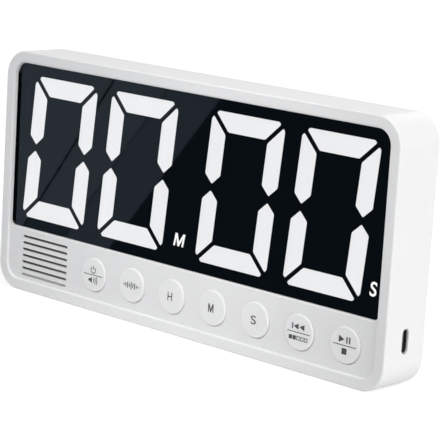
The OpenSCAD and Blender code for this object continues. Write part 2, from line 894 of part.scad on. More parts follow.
module usb_tongue() {
  tongue_l = 6.7;
  tongue_t = 0.7;
  seat = 1.6;
  fit = 0.05;
  color([0.08, 0.08, 0.08]) {
    usb_place(usb_end + usb_wall, usb_end + usb_wall + seat) usb_shape(usb_wall + fit);
    usb_place(usb_end + usb_wall + seat, usb_mouth - usb_recess)
      square([tongue_t, tongue_l], center = true);
  }
}

// Push switches on the front of the board
switch_front = board_front - switch_h;
plunger_tip = switch_front - plunger_out;

module switch_housings() {
  color([0.12, 0.12, 0.12])
    for (x = button_x)
      difference() {
        slab(switch_front, board_front) translate([x, button_z]) square(switch_w, center = true);
        rod(
          x, button_z, switch_front - over, switch_front + plunger_in + 2 * button_travel,
          plunger_r + plunger_gap
        );
      }
}

module plunger(i) {
  color("black") rod(button_x[i], button_z, plunger_tip, switch_front + plunger_in, plunger_r);
}

// Hollow cap with a rounded edge, a flange behind the wall and a ribbed stem down to its switch
module button(i) {
  cap_front = strip_depth - button_proud;
  cap_in = cap_front + button_wall;
  flange_front = face_in + flange_gap;
  flange_back = flange_front + flange_t;
  rib_t = 1.2;
  rib_w = 3 * plunger_r;
  color([0.95, 0.95, 0.96]) {
    turned_about(button_x[i], button_z)
      difference() {
        union() {
          translate([0, cap_front]) square([button_d / 2 - button_edge_r, flange_back - cap_front]);
          translate([0, cap_front + button_edge_r])
            square([button_d / 2, flange_back - cap_front - button_edge_r]);
          translate([button_d / 2 - button_edge_r, cap_front + button_edge_r]) circle(button_edge_r);
          translate([0, flange_front]) square([flange_r, flange_t]);
        }
        translate([0, cap_in]) square([button_d / 2 - button_wall, flange_back]);
      }
    slab(cap_in - button_wall / 2, plunger_tip)
      translate([button_x[i], button_z]) {
        square([rib_w, rib_t], center = true);
        square([rib_t, rib_w], center = true);
      }
  }
}

// Speaker stack behind the grille
cloth_front = grille_in + cloth_glue;
cloth_back = cloth_front + cloth_t;
speaker_front = cloth_back + gasket_t;
speaker_step = speaker_ring / 2;
speaker_back = speaker_front + basket_d;

module grille_cloth() {
  color([0.1, 0.1, 0.1]) speaker_place(cloth_front, cloth_back) racetrack(speaker_l, speaker_h);
}

module speaker_gasket() {
  color([0.2, 0.2, 0.2])
    speaker_place(cloth_back, speaker_front)
      difference() {
        racetrack(speaker_l, speaker_h);
        racetrack(speaker_l - 2 * speaker_step, speaker_h - 2 * speaker_step);
      }
}

module speaker_frame() {
  color("gray")
    difference() {
      speaker_place(speaker_front, speaker_back) racetrack(speaker_l, speaker_h);
      speaker_place(speaker_front - over, speaker_front + speaker_step / 2)
        racetrack(speaker_l - 2 * speaker_step, speaker_h - 2 * speaker_step);
      speaker_place(speaker_front, speaker_back - basket_floor_t)
        racetrack(speaker_l - 2 * speaker_ring, speaker_h - 2 * speaker_ring);
      rod(grille_x, grille_z, speaker_front, speaker_back + over, magnet_neck_r + cell_gap);
    }
}

// Paper cone: a flat surround, a sloping wall and a level cap
module speaker_cone() {
  cone_t = 0.3;
  cone_w = speaker_l - 2 * speaker_ring;
  cone_h = speaker_h - 2 * speaker_ring;
  cone_in = speaker_ring * 0.9;
  cone_d = speaker_ring * 0.8;
  round_r = cone_h / 2 - cone_t;
  seat_d = speaker_front + speaker_step / 2;
  color([0.25, 0.25, 0.25]) {
    speaker_place(seat_d - cone_t, seat_d)
      difference() {
        racetrack(speaker_l - 2.2 * speaker_step, speaker_h - 2.2 * speaker_step);
        racetrack(cone_w - 4 * cone_t, cone_h - 4 * cone_t);
      }
    carried_round(cone_w, cone_h, round_r, grille_x, grille_z)
      polygon([
        [-cone_t, seat_d - cone_t], [-2.5 * cone_t, seat_d - cone_t],
        [-cone_in - cone_t, seat_d + cone_d], [-cone_in, seat_d + cone_d]
      ]);
    speaker_place(seat_d + cone_d - cone_t, seat_d + cone_d)
      rounded(cone_w - 2 * cone_in, cone_h - 2 * cone_in, round_r - cone_in);
  }
}

module speaker_magnet() {
  color("dimgray") {
    rod(grille_x, grille_z, speaker_back - basket_floor_t, speaker_back, magnet_neck_r);
    rod(grille_x, grille_z, speaker_back, board_front - magnet_room, magnet_cup_r);
  }
}

module speaker_leads() {
  lead_x = grille_x + speaker_l / 2 - speaker_ring;
  color("firebrick")
    for (s = [-1, 1])
      rod(lead_x, grille_z + s * speaker_ring, speaker_back, board_front, lead_r);
}

// Flat rechargeable cell on the back of the board
module battery_cell() {
  edge_r = 2;
  color("lightsteelblue")
    slab(cell_front, cell_front + cell_t) translate([cell_x, cell_z]) rounded(cell_l, cell_h, edge_r);
}

module battery_pad() {
  margin = 4;
  color("khaki")
    slab(board_back, cell_front)
      translate([cell_x, cell_z]) square([cell_l - margin, cell_h - margin], center = true);
}

module battery_leads() {
  color("firebrick")
    for (z = lead_z)
      cross_rod(socket_x + socket_w / 2, cell_left, lead_depth, z, lead_r);
}

module battery_socket() {
  color("ivory")
    slab(board_back, cover_in - socket_room)
      translate([socket_x, (lead_z[0] + lead_z[1]) / 2])
        square([socket_w, lead_pitch + 2 * socket_wall], center = true);
}

disc_places = [
  for (sx = [-1, 1], sz = [-1, 1]) [sx * (body_w / 2 - disc_edge), body_h / 2 + sz * (body_h / 2 - disc_edge)]
];

module back_magnets() {
  color("silver")
    for (p = disc_places)
      rod(p[0], p[1], body_d - disc_t, body_d, disc_r);
}

// Rear cover with the stand's pocket, magnet pockets, keyhole and screw seats
stand_z = body_h - stand_top;
stand_tip = stand_foot;
pocket_half = stand_w / 2 + stand_gap;
pocket_top = stand_z + barrel_r + heel_rise + stand_gap;
barrel_low = stand_z - barrel_r - heel_rise - stand_gap;
ear_t = pin_reach + floor_t;
keyhole_z = body_h - keyhole_top;
cover_inset = wall_t - step_w + cover_gap;

// Outline of the stand's pocket, grown by g
module pocket_shape(g, low) {
  translate([-pocket_half - g, low - g]) square([2 * (pocket_half + g), pocket_top - low + 2 * g]);
}

module scoop_shape(g) {
  intersection() {
    translate([0, stand_tip]) circle(scoop_r + g);
    translate([-body_w / 2, 0]) square([body_w, stand_tip]);
  }
}

// Space behind the keyhole for the screw's head, grown by g
module keyhole_space(g) {
  half = keyhole_r + keyhole_room + g;
  translate([-half, keyhole_z - half]) square([2 * half, keyhole_rise + 2 * half]);
}

module keyhole() {
  translate([0, keyhole_z]) circle(keyhole_r);
  translate([0, keyhole_z + keyhole_rise]) circle(keyhole_slot_r);
  translate([-keyhole_slot_r, keyhole_z]) square([2 * keyhole_slot_r, keyhole_rise]);
}

module rear_cover() {
  press_r = 2;
  press_gap = 0.05;
  press_z = body_h - wall_t - board_gap - 2 * press_r;
  color(case_white)
    difference() {
      union() {
        slab(cover_in, body_d) body_outline(cover_inset);
        slab(leaf_floor - floor_t, cover_in + over) {
          pocket_shape(floor_t, stand_tip - stand_gap);
          scoop_shape(floor_t);
        }
        slab(barrel_floor - floor_t, cover_in + over) pocket_shape(floor_t, barrel_low);
        for (s = [-1, 1])
          block(
            s * (pocket_half + ear_t / 2) - ear_t / 2, s * (pocket_half + ear_t / 2) + ear_t / 2,
            barrel_floor - floor_t, cover_in + over, barrel_low - floor_t, pocket_top + floor_t
          );
        slab(cover_in - keyhole_d - floor_t, cover_in + over) keyhole_space(floor_t);
        for (p = disc_places)
          rod(p[0], p[1], body_d - disc_t - floor_t, cover_in + over, disc_r + floor_t);
        for (s = [-1, 1])
          rod(s * gap_x, press_z, board_back + press_gap, cover_in + over, press_r);
      }
      slab(leaf_floor, body_d + over) {
        pocket_shape(0, stand_tip - stand_gap);
        scoop_shape(0);
      }
      slab(barrel_floor, body_d + over) pocket_shape(0, barrel_low);
      cross_rod(-pocket_half - pin_reach, pocket_half + pin_reach, axis_d, stand_z, pin_r + pin_gap);
      slab(cover_in - keyhole_d, cover_in) keyhole_space(0);
      slab(cover_in - over, body_d + over) keyhole();
      for (p = disc_places)
        rod(p[0], p[1], body_d - disc_t, body_d + over, disc_r + screw_gap);
      for (s = [-1, 1], z = boss_z) {
        rod(s * boss_x, z, cover_in - over, body_d + over, cover_screw_r + 2 * screw_gap);
        rod(s * boss_x, z, body_d - cover_head_h - screw_gap, body_d + over, cover_head_r + 2 * screw_gap);
      }
    }
}

// Folding stand: a leaf cored from inside, a barrel round the pin and a heel that stops it open
module folding_stand() {
  cells = 3;
  cell_w = (stand_w - (cells + 1) * leaf_rib) / cells;
  core_top = stand_z - barrel_r - leaf_rib;
  heel_top = stand_z + barrel_r + heel_rise;
  color(case_white)
    difference() {
      union() {
        slab(leaf_in, leaf_out) frame_outline(stand_w / 2, stand_tip, stand_z, leaf_r, over);
        cross_rod(-stand_w / 2, stand_w / 2, axis_d, stand_z, barrel_r);
        block(-heel_w / 2, heel_w / 2, axis_d - heel_half, axis_d + heel_half, stand_z, heel_top);
      }
      for (i = [0 : cells - 1]) {
        x0 = leaf_rib - stand_w / 2 + i * (cell_w + leaf_rib);
        block(x0, x0 + cell_w, leaf_in - over, leaf_out - leaf_skin, stand_tip + leaf_r, core_top);
      }
      cross_rod(-stand_w / 2 - over, stand_w / 2 + over, axis_d, stand_z, pin_r + pin_gap);
    }
}

module stand_pin() {
  reach = pocket_half + pin_reach;
  color("silver") cross_rod(-reach, reach, axis_d, stand_z, pin_r);
}

front_case();
rear_cover();
cover_screws();
display_window();
segment_mask();
window_tape();
for (k = [0 : 3])
  digit(k);
middle_bars();
unit_lenses();
light_box();
main_board();
board_screws();
segment_leds();
controller_chip();
driver_chips();
charge_chip();
crystal_can();
board_capacitors();
usb_shell();
usb_tongue();
switch_housings();
for (i = [0 : button_count - 1]) {
  plunger(i);
  button(i);
}
grille_cloth();
speaker_gasket();
speaker_frame();
speaker_cone();
speaker_magnet();
speaker_leads();
battery_cell();
battery_pad();
battery_leads();
battery_socket();
back_magnets();
folding_stand();
stand_pin();
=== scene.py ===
import json
import math

import bmesh
import bpy
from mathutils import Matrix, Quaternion, Vector

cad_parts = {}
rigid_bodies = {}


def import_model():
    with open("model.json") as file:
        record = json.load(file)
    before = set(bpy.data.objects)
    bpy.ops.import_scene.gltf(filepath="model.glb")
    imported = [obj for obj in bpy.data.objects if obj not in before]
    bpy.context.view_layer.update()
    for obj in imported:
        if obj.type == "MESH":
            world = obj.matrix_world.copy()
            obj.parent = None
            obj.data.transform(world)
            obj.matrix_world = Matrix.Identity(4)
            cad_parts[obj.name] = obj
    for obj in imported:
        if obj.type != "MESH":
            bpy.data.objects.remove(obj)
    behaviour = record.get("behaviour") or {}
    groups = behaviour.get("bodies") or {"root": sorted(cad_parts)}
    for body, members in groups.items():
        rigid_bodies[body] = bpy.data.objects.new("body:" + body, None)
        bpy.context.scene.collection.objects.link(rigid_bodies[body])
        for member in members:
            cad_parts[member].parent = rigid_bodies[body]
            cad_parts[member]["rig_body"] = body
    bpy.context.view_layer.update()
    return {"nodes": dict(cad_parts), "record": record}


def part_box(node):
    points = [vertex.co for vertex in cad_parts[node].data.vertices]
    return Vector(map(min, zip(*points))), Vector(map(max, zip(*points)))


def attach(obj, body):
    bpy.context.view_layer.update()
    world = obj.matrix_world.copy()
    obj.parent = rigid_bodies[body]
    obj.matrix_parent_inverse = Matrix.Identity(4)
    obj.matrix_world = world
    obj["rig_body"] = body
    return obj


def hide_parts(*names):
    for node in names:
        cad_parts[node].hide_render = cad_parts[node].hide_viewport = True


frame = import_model()
nodes = frame["nodes"]
mm = 0.001


def addObject(name, data):
    item = bpy.data.objects.new(name, data)
    bpy.context.scene.collection.objects.link(item)
    return item


def turnTo(place, aim):
    return (Vector(aim) - Vector(place)).to_track_quat("-Z", "Y")


# Camera, fitted to the photo
cameraLook = {
    "place": (0.50626, -0.54156, 0.18847),
    "aim": (0.01019, 0.0, 0.04498),
    "roll": 3.516,  # degrees
    "lens": 164.795,
    "sensor": 36.0,
    "nearest": 0.01,
    "farthest": 200.0,
}
cameraData = bpy.data.cameras.new("camera")
cameraData.sensor_width = cameraLook["sensor"]
cameraData.lens = cameraLook["lens"]
cameraData.clip_start = cameraLook["nearest"]
cameraData.clip_end = cameraLook["farthest"]
camera = addObject("camera", cameraData)
camera.location = cameraLook["place"]
camera.rotation_mode = "QUATERNION"
roll = Quaternion((0, 0, 1), math.radians(cameraLook["roll"]))
camera.rotation_quaternion = turnTo(cameraLook["place"], cameraLook["aim"]) @ roll
bpy.context.scene.camera = camera
bpy.context.scene.view_settings.view_transform = "Standard"
print("camera placed")


# Materials

noiseSpan = (0.3, 0.7)  # where most values of a noise lie
fullSpan = (0.0, 1.0)


def newMaterial(name):
    material = bpy.data.materials.new(name)
    material.use_nodes = True
    tree = material.node_tree
    return material, tree, tree.nodes["Principled BSDF"]


def grey(level):
    return (level, level, level)


def addPlace(tree):
    return tree.nodes.new("ShaderNodeTexCoord").outputs["Object"]


def addNoise(tree, scale, detail):
    noise = tree.nodes.new("ShaderNodeTexNoise")
    noise.inputs["Scale"].default_value = scale
    noise.inputs["Detail"].default_value = detail
    tree.links.new(addPlace(tree), noise.inputs["Vector"])
    return noise.outputs["Fac"]


def addTones(tree, factor, dark, light):
    mix = tree.nodes.new("ShaderNodeMix")
    mix.data_type = "RGBA"
    mix.inputs[6].default_value = (*dark, 1.0)  # inputs 6 and 7 are the two colours
    mix.inputs[7].default_value = (*light, 1.0)
    tree.links.new(factor, mix.inputs[0])
    return mix.outputs[2]


def addSum(tree, first, second):
    total = tree.nodes.new("ShaderNodeVectorMath")
    total.operation = "ADD"
    tree.links.new(first, total.inputs[0])
    tree.links.new(second, total.inputs[1])
    return total.outputs["Vector"]


# A math step between a link and a number
def addStep(tree, operation, value, number):
    step = tree.nodes.new("ShaderNodeMath")
    step.operation = operation
    step.inputs[1].default_value = number
    tree.links.new(value, step.inputs[0])
    return step.outputs["Value"]


def addRange(tree, value, fromSpan, toSpan):
    span = tree.nodes.new("ShaderNodeMapRange")
    span.inputs["From Min"].default_value = fromSpan[0]
    span.inputs["From Max"].default_value = fromSpan[1]
    span.inputs["To Min"].default_value = toSpan[0]
    span.inputs["To Max"].default_value = toSpan[1]
    tree.links.new(value, span.inputs["Value"])
    return span.outputs["Result"]


def addBump(tree, shader, height, depth, strength):
    bump = tree.nodes.new("ShaderNodeBump")
    bump.inputs["Strength"].default_value = strength
    bump.inputs["Distance"].default_value = depth
    tree.links.new(height, bump.inputs["Height"])
    tree.links.new(bump.outputs["Normal"], shader.inputs["Normal"])


# A plain surface: two close tones in soft clouds, a worn roughness and a fine grain
plainDefaults = {
    "spread": 0.015, "wear": 0.07, "metal": 0.0, "gloss": 0.5,
    "clouds": 40.0, "cloudDetail": 3.0, "grain": 2600.0, "grainDetail": 2.0,
    "depth": 0.01 * mm, "strength": 0.25,
}


def plainMaterial(name, ownLook):
    look = {**plainDefaults, **ownLook}
    material, tree, shader = newMaterial(name)
    dark = [max(0.0, c * (1 - look["spread"])) for c in look["tone"]]
    light = [min(1.0, c * (1 + look["spread"])) for c in look["tone"]]
    worn = (look["rough"] * (1 - look["wear"]), look["rough"] * (1 + look["wear"]))
    clouds = addNoise(tree, look["clouds"], look["cloudDetail"])
    grain = addNoise(tree, look["grain"], look["grainDetail"])
    tree.links.new(addTones(tree, clouds, dark, light), shader.inputs["Base Color"])
    tree.links.new(addRange(tree, clouds, noiseSpan, worn), shader.inputs["Roughness"])
    shader.inputs["Metallic"].default_value = look["metal"]
    shader.inputs["Specular IOR Level"].default_value = look["gloss"]
    addBump(tree, shader, grain, look["depth"], look["strength"])
    return material


plainLooks = {
    "case": {"tone": (0.86, 0.862, 0.868), "rough": 0.42, "spread": 0.008, "depth": 0.02 * mm},
    "button": {"tone": (0.9, 0.902, 0.906), "rough": 0.32, "spread": 0.006, "strength": 0.15},
    "mask": {"tone": (0.006, 0.006, 0.007), "rough": 0.6, "spread": 0.2, "gloss": 0.0},
    "tape": {"tone": (0.03, 0.03, 0.03), "rough": 0.9, "spread": 0.2, "grain": 1500.0},
    "unlit": {"tone": (0.006, 0.006, 0.007), "rough": 0.6, "spread": 0.2, "gloss": 0.0},
    "reflector": {"tone": (0.8, 0.8, 0.8), "rough": 0.4},
    "led": {"tone": (0.85, 0.7, 0.25), "rough": 0.3, "spread": 0.05},
    "chip": {"tone": (0.02, 0.02, 0.021), "rough": 0.6, "spread": 0.15, "grain": 5000.0},
    "black": {"tone": (0.012, 0.012, 0.012), "rough": 0.45, "spread": 0.15},
    "socket": {"tone": (0.72, 0.66, 0.5), "rough": 0.5, "spread": 0.04},
    "speaker": {"tone": (0.03, 0.03, 0.032), "rough": 0.5, "spread": 0.1},
    "cone": {"tone": (0.02, 0.02, 0.02), "rough": 0.95, "spread": 0.3, "grain": 900.0, "depth": 0.1 * mm},
    "lead": {"tone": (0.4, 0.02, 0.015), "rough": 0.45, "spread": 0.06},
    "screw": {"tone": (0.34, 0.34, 0.35), "rough": 0.32, "metal": 1.0, "spread": 0.05},
    "can": {"tone": (0.6, 0.6, 0.62), "rough": 0.35, "metal": 1.0, "spread": 0.04},
    "magnet": {"tone": (0.48, 0.48, 0.49), "rough": 0.22, "metal": 1.0, "spread": 0.04},
    "print": {"tone": (0.07, 0.07, 0.075), "rough": 0.55, "spread": 0.1},
}
materials = {name: plainMaterial(name, look) for name, look in plainLooks.items()}

# Smoked sheet: clear, tinted and polished
windowLook = {
    "tints": ((0.74, 0.77, 0.8), (0.76, 0.79, 0.82)),
    "clouds": 25.0, "cloudDetail": 3.0,
    "rough": (0.012, 0.02), "refraction": 1.49,
}


def windowMaterial(look):
    material, tree, shader = newMaterial("window")
    clouds = addNoise(tree, look["clouds"], look["cloudDetail"])
    tree.links.new(addTones(tree, clouds, *look["tints"]), shader.inputs["Base Color"])
    tree.links.new(addRange(tree, clouds, noiseSpan, look["rough"]), shader.inputs["Roughness"])
    shader.inputs["IOR"].default_value = look["refraction"]
    shader.inputs["Transmission Weight"].default_value = 1.0
    return material


# Lit segment: the front face glows and its sides stay dull
digitLook = {
    "tints": ((0.985, 0.951, 0.927), (1.0, 0.9655, 0.941)),
    "clouds": 90.0, "cloudDetail": 2.0,
    "glow": 1.134, "frontLimit": -0.5, "body": 0.05, "rough": 0.6,
}


def digitMaterial(look):
    material, tree, shader = newMaterial("digit")
    clouds = addNoise(tree, look["clouds"], look["cloudDetail"])
    surface = tree.nodes.new("ShaderNodeNewGeometry")
    split = tree.nodes.new("ShaderNodeSeparateXYZ")
    tree.links.new(surface.outputs["True Normal"], split.inputs["Vector"])
    front = addStep(tree, "LESS_THAN", split.outputs["Y"], look["frontLimit"])
    tree.links.new(addStep(tree, "MULTIPLY", front, look["glow"]), shader.inputs["Emission Strength"])
    tree.links.new(addTones(tree, clouds, *look["tints"]), shader.inputs["Emission Color"])
    shader.inputs["Base Color"].default_value = (*grey(look["body"]), 1.0)
    shader.inputs["Roughness"].default_value = look["rough"]
    return material


# Solder mask: dark fields between paler tracks
boardLook = {
    "fields": ((0.012, 0.09, 0.03), (0.014, 0.1, 0.035)),
    "track": (0.02, 0.15, 0.05),
    "scale": 180.0, "trackWide": 0.03, "turn": 90, "rough": 0.35,
}


def boardMaterial(look):
    material, tree, shader = newMaterial("board")
    lanes = tree.nodes.new("ShaderNodeTexBrick")
    lanes.inputs["Scale"].default_value = look["scale"]
    lanes.inputs["Mortar Size"].default_value = look["trackWide"]
    lanes.inputs["Color1"].default_value = (*look["fields"][0], 1.0)
    lanes.inputs["Color2"].default_value = (*look["fields"][1], 1.0)
    lanes.inputs["Mortar"].default_value = (*look["track"], 1.0)
    turn = tree.nodes.new("ShaderNodeMapping")
    turn.inputs["Rotation"].default_value = (math.radians(look["turn"]), 0, 0)
    tree.links.new(addPlace(tree), turn.inputs["Vector"])
    tree.links.new(turn.outputs["Vector"], lanes.inputs["Vector"])
    tree.links.new(lanes.outputs["Color"], shader.inputs["Base Color"])
    shader.inputs["Roughness"].default_value = look["rough"]
    return material


# Woven dust cloth, with painted light: paler to the right and palest in the lowest slot
clothLow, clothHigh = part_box("grille_cloth")
slotPitch = 2.6 * mm
pitchesDown = 2.5  # from the middle slot to just above the lowest one
clothLook = {
    "weave": 900.0, "waver": 0.6, "threads": (0.012, 0.03),
    "across": (clothLow.x, clothHigh.x), "paintedLightRight": 0.08,
    "lowest": (clothLow.z + clothHigh.z) / 2 - pitchesDown * slotPitch, "pale": 0.42,
    "rough": 0.95, "depth": 0.05 * mm, "strength": 0.5,
}


def clothMaterial(look):
    material, tree, shader = newMaterial("cloth")
    place = addPlace(tree)
    weave = tree.nodes.new("ShaderNodeTexWave")
    weave.inputs["Scale"].default_value = look["weave"]
    weave.inputs["Distortion"].default_value = look["waver"]
    split = tree.nodes.new("ShaderNodeSeparateXYZ")
    tree.links.new(place, weave.inputs["Vector"])
    tree.links.new(place, split.inputs["Vector"])
    across = addRange(tree, split.outputs["X"], look["across"], fullSpan)
    lowest = addStep(tree, "LESS_THAN", split.outputs["Z"], look["lowest"])
    woven = addTones(tree, weave.outputs["Fac"], grey(look["threads"][0]), grey(look["threads"][1]))
    # Painted light: the cloth is lighter towards the right end of the slots, and lighter still in the
    # lowest slot
    rightwardLight = addTones(tree, across, grey(0.0), grey(look["paintedLightRight"]))
    lowestSlotLight = addTones(tree, lowest, grey(0.0), grey(look["pale"]))
    tone = addSum(tree, addSum(tree, woven, rightwardLight), lowestSlotLight)
    tree.links.new(tone, shader.inputs["Base Color"])
    shader.inputs["Roughness"].default_value = look["rough"]
    addBump(tree, shader, weave.outputs["Fac"], look["depth"], look["strength"])
    return material


materials["window"] = windowMaterial(windowLook)
materials["digit"] = digitMaterial(digitLook)
materials["board"] = boardMaterial(boardLook)
materials["cloth"] = clothMaterial(clothLook)
print("materials made")

# Every solid takes the finish that its record slot names
slotOf = {row["node"]: row["material_slot"] for row in frame["record"]["subparts"]}
for name, solid in nodes.items():
    solid.data.materials.clear()
    solid.data.materials.append(materials[slotOf[name]])
print("finishes given")


# Pieces made in the scene

meshLook = {
    "merge": 0.002 * mm, "flat": 0.3,  # points this close and edges this flat, in degrees, are joined
    "level": 0.01 * mm, "squareOn": 0.99,  # how near to a plane, and how nearly along an axis
    "edgeTurn": 50, "cornerTurn": 20, "smoothTurn": 35,  # degrees between faces
}


def bodyOf(nodeName):
    return nodes[nodeName]["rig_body"]


# The middle of a node's front
def frontMiddle(nodeName):
    lowCorner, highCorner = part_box(nodeName)
    return Vector(((lowCorner.x + highCorner.x) / 2, lowCorner.y, (lowCorner.z + highCorner.z) / 2))


def startCopy(nodeName):
    work = bmesh.new()
    work.from_mesh(nodes[nodeName].data)
    bmesh.ops.remove_doubles(work, verts=work.verts[:], dist=meshLook["merge"])
    bmesh.ops.dissolve_limit(
        work, angle_limit=math.radians(meshLook["flat"]), verts=work.verts[:], edges=work.edges[:],
        delimit=set(),
    )
    return work


def bevelEdges(work, chosen, width, segments):
    bmesh.ops.bevel(
        work, geom=chosen, offset=width, offset_type="OFFSET", segments=segments, profile=0.5,
        affect="EDGES", clamp_overlap=True, material=-1,
    )


# Sharp outer edges that lie in one plane
def edgesInPlane(work, axis, level):
    found = []
    for edge in work.edges:
        if len(edge.link_faces) != 2 or not edge.is_convex:
            continue
        if all(abs(v.co[axis] - level) < meshLook["level"] for v in edge.verts):
            if edge.calc_face_angle(0.0) > math.radians(meshLook["edgeTurn"]):
                found.append(edge)
    return found


# Edges that run from front to back, between faces that meet at a corner
def cornerEdges(work):
    found = []
    for edge in work.edges:
        run = (edge.verts[1].co - edge.verts[0].co).normalized()
        if len(edge.link_faces) == 2 and abs(run.y) > meshLook["squareOn"]:
            if edge.calc_face_angle(0.0) > math.radians(meshLook["cornerTurn"]):
                found.append(edge)
    return found


# Moves the side walls of a flat-fronted piece outward
def widenSides(work, width):
    work.normal_update()
    moves = {}
    for v in work.verts:
        walls = [face.normal for face in v.link_faces if abs(face.normal.y) < meshLook["squareOn"]]
        moves[v] = (walls[0] + walls[1]) * width / (1 + walls[0].dot(walls[1]))
    for v, move in moves.items():
        v.co = v.co + move


def finishPiece(work, pieceName, body, material, stands):
    for edge in work.edges:
        edge.smooth = edge.calc_face_angle(math.pi) < math.radians(meshLook["smoothTurn"])
    for face in work.faces:
        face.smooth = True
    mesh = bpy.data.meshes.new(pieceName)
    work.to_mesh(mesh)
    work.free()
    mesh.materials.append(material)
    piece = addObject(pieceName, mesh)
    weigh = piece.modifiers.new("weigh", "WEIGHTED_NORMAL")
    weigh.keep_sharp = True
    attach(piece, body)
    if stands:
        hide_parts(*stands)


# Front housing with softened holes, slots and socket mouth
shell = {"node": "front_case", "soft": 0.12 * mm, "segments": 2, "capProud": 0.7 * mm}
work = startCopy(shell["node"])
caseLow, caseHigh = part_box(shell["node"])
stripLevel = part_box("button_power")[0].y + shell["capProud"]
chosen = edgesInPlane(work, 1, stripLevel) + edgesInPlane(work, 0, caseHigh.x)
bevelEdges(work, chosen, shell["soft"], shell["segments"])
finishPiece(work, "frontShell", "case", materials["case"], [shell["node"]])
print("front housing", len(chosen), "edges softened")

# A thin dark sheet in the cloth finish on the blind ends of the speaker slots, level with the dust cloth:
# painted shade inside the slots
slotShade = {"from": 1.0 * mm, "to": 2.0 * mm, "thick": 0.05 * mm}
work = startCopy(shell["node"])
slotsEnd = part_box("button_power")[0].x
blindEnds = []
for face in work.faces:
    spot = face.calc_center_median()
    facesFront = face.normal.y < -meshLook["squareOn"]
    if facesFront and spot.x < slotsEnd and slotShade["from"] < spot.y - stripLevel < slotShade["to"]:
        blindEnds.append(face)
others = set(work.faces) - set(blindEnds)
bmesh.ops.delete(work, geom=list(others), context="FACES")
for v in work.verts:
    v.co.y = clothLow.y
bmesh.ops.solidify(work, geom=work.faces[:], thickness=slotShade["thick"])
bmesh.ops.recalc_face_normals(work, faces=work.faces[:])
finishPiece(work, "grilleShadeSheet", "case", materials["cloth"], [])
print("slot ends lined", len(blindEnds))

# Back cover and folding stand
for look in (
    {"node": "rear_cover", "piece": "backCover", "soft": 0.25 * mm, "segments": 2},
    {"node": "folding_stand", "piece": "backStand", "soft": 0.3 * mm, "segments": 2},
):
    work = startCopy(look["node"])
    chosen = edgesInPlane(work, 1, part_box(look["node"])[1].y)
    bevelEdges(work, chosen, look["soft"], look["segments"])
    finishPiece(work, look["piece"], bodyOf(look["node"]), materials["case"], [look["node"]])
    print(look["piece"], len(chosen), "edges softened")

# Button caps, a little off centre, each with a collar that narrows its gap just below the strip
capLook = {
    "collarDepth": 0.25 * mm, "collar": 0.15 * mm,
    "ledge": 0.01 * mm, "near": 0.02 * mm,
    "openSide": Vector((0.7, 0, -0.7)), "offCentre": 0.14 * mm,  # the gap is widest at the lower right
}
buttonNames = ["power", "sound", "hours", "minutes", "seconds", "reset", "start"]
collarTop = stripLevel + capLook["collarDepth"]
ledgeMiddle = collarTop + capLook["ledge"] / 2
for name in buttonNames:
    work = startCopy("button_" + name)
    centre = frontMiddle("button_" + name)
    for level in (collarTop, collarTop + capLook["ledge"]):
        whole = work.verts[:] + work.edges[:] + work.faces[:]
        bmesh.ops.bisect_plane(work, geom=whole, plane_co=(0, level, 0), plane_no=(0, 1, 0))
    reaches = {v: Vector((v.co.x - centre.x, 0, v.co.z - centre.z)) for v in work.verts}
    capRadius = max(reach.length for v, reach in reaches.items() if v.co.y < stripLevel)
    for v, reach in reaches.items():
        if v.co.y < ledgeMiddle:
            v.co = v.co - capLook["openSide"] * capLook["offCentre"]
        elif abs(reach.length - capRadius) < capLook["near"]:
            outward = reach.normalized()
            share = (1 - outward.dot(capLook["openSide"])) / 2
            v.co = v.co + outward * capLook["collar"] * share
    finishPiece(work, "cap." + name, name + "_button", materials["button"], ["button_" + name])
print("button caps collared")

# Unlit centre bars that nearly fill their cells
unlitBars = {"node": "middle_bars", "fill": 0.045 * mm}
work = startCopy(unlitBars["node"])
widenSides(work, unlitBars["fill"])
finishPiece(work, "unlitBars", "case", materials["unlit"], [unlitBars["node"]])

# Lit digits with rounded segment corners, a hair behind the window
display = {"corner": 0.55 * mm, "segments": 4, "airGap": 0.02 * mm}
windowLow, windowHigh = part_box("display_window")
litFront = windowHigh.y + display["airGap"]
digitNames = [name for name in nodes if name.startswith("digit_")]
for name in digitNames:
    work = startCopy(name)
    for v in work.verts:
        v.co.y = max(v.co.y, litFront)
    bevelEdges(work, cornerEdges(work), display["corner"], display["segments"])
    finishPiece(work, name.replace("digit_", "lit."), "case", materials["digit"], [name])
print("display segments set")

# Small metal pieces
for name, pieceName in (
    ("usb_shell", "socketShell"),
    ("cover_screws", "coverScrews"),
    ("back_magnets", "backMagnets"),
    ("stand_pin", "standPin"),
):
    work = startCopy(name)
    finishPiece(work, pieceName, bodyOf(name), materials[slotOf[name]], [name])
print("metal pieces smoothed")


# Printed signs: flat prisms in the front plane, from outlines in millimetres

def addPrism(work, outline, place, thick):
    corners = [work.verts.new((place.x + u * mm, place.y, place.z + v * mm)) for u, v in outline]
    raised = bmesh.ops.extrude_face_region(work, geom=[work.faces.new(corners)])
    front = [item for item in raised["geom"] if isinstance(item, bmesh.types.BMVert)]
    bmesh.ops.translate(work, verts=front, vec=(0, -thick, 0))


def barShape(u, v, width, height):
    right = u + width / 2
    top = v + height / 2
    return [(right - width, top - height), (right, top - height), (right, top), (right - width, top)]


# Points to the left, or with a negative run to the right
def arrowShape(tip, v, run, half):
    return [(tip, v), (tip + run, v - half), (tip + run, v + half)]


def arcShape(u, v, radius, thick, fromAngle, toAngle, steps):
    angles = [math.radians(fromAngle + (toAngle - fromAngle) * i / steps) for i in range(steps + 1)]
    outer = radius + thick / 2
    inner = radius - thick / 2
    outside = [(u + outer * math.cos(a), v + outer * math.sin(a)) for a in angles]
    inside = [(u + inner * math.cos(a), v + inner * math.sin(a)) for a in angles]
    return outside + inside[::-1]


def boxShape(u, v, size, thick):
    reach = (size - thick) / 2
    return [
        barShape(u, v + reach, size, thick), barShape(u, v - reach, size, thick),
        barShape(u - reach, v, thick, size - 2 * thick), barShape(u + reach, v, thick, size - 2 * thick),
    ]


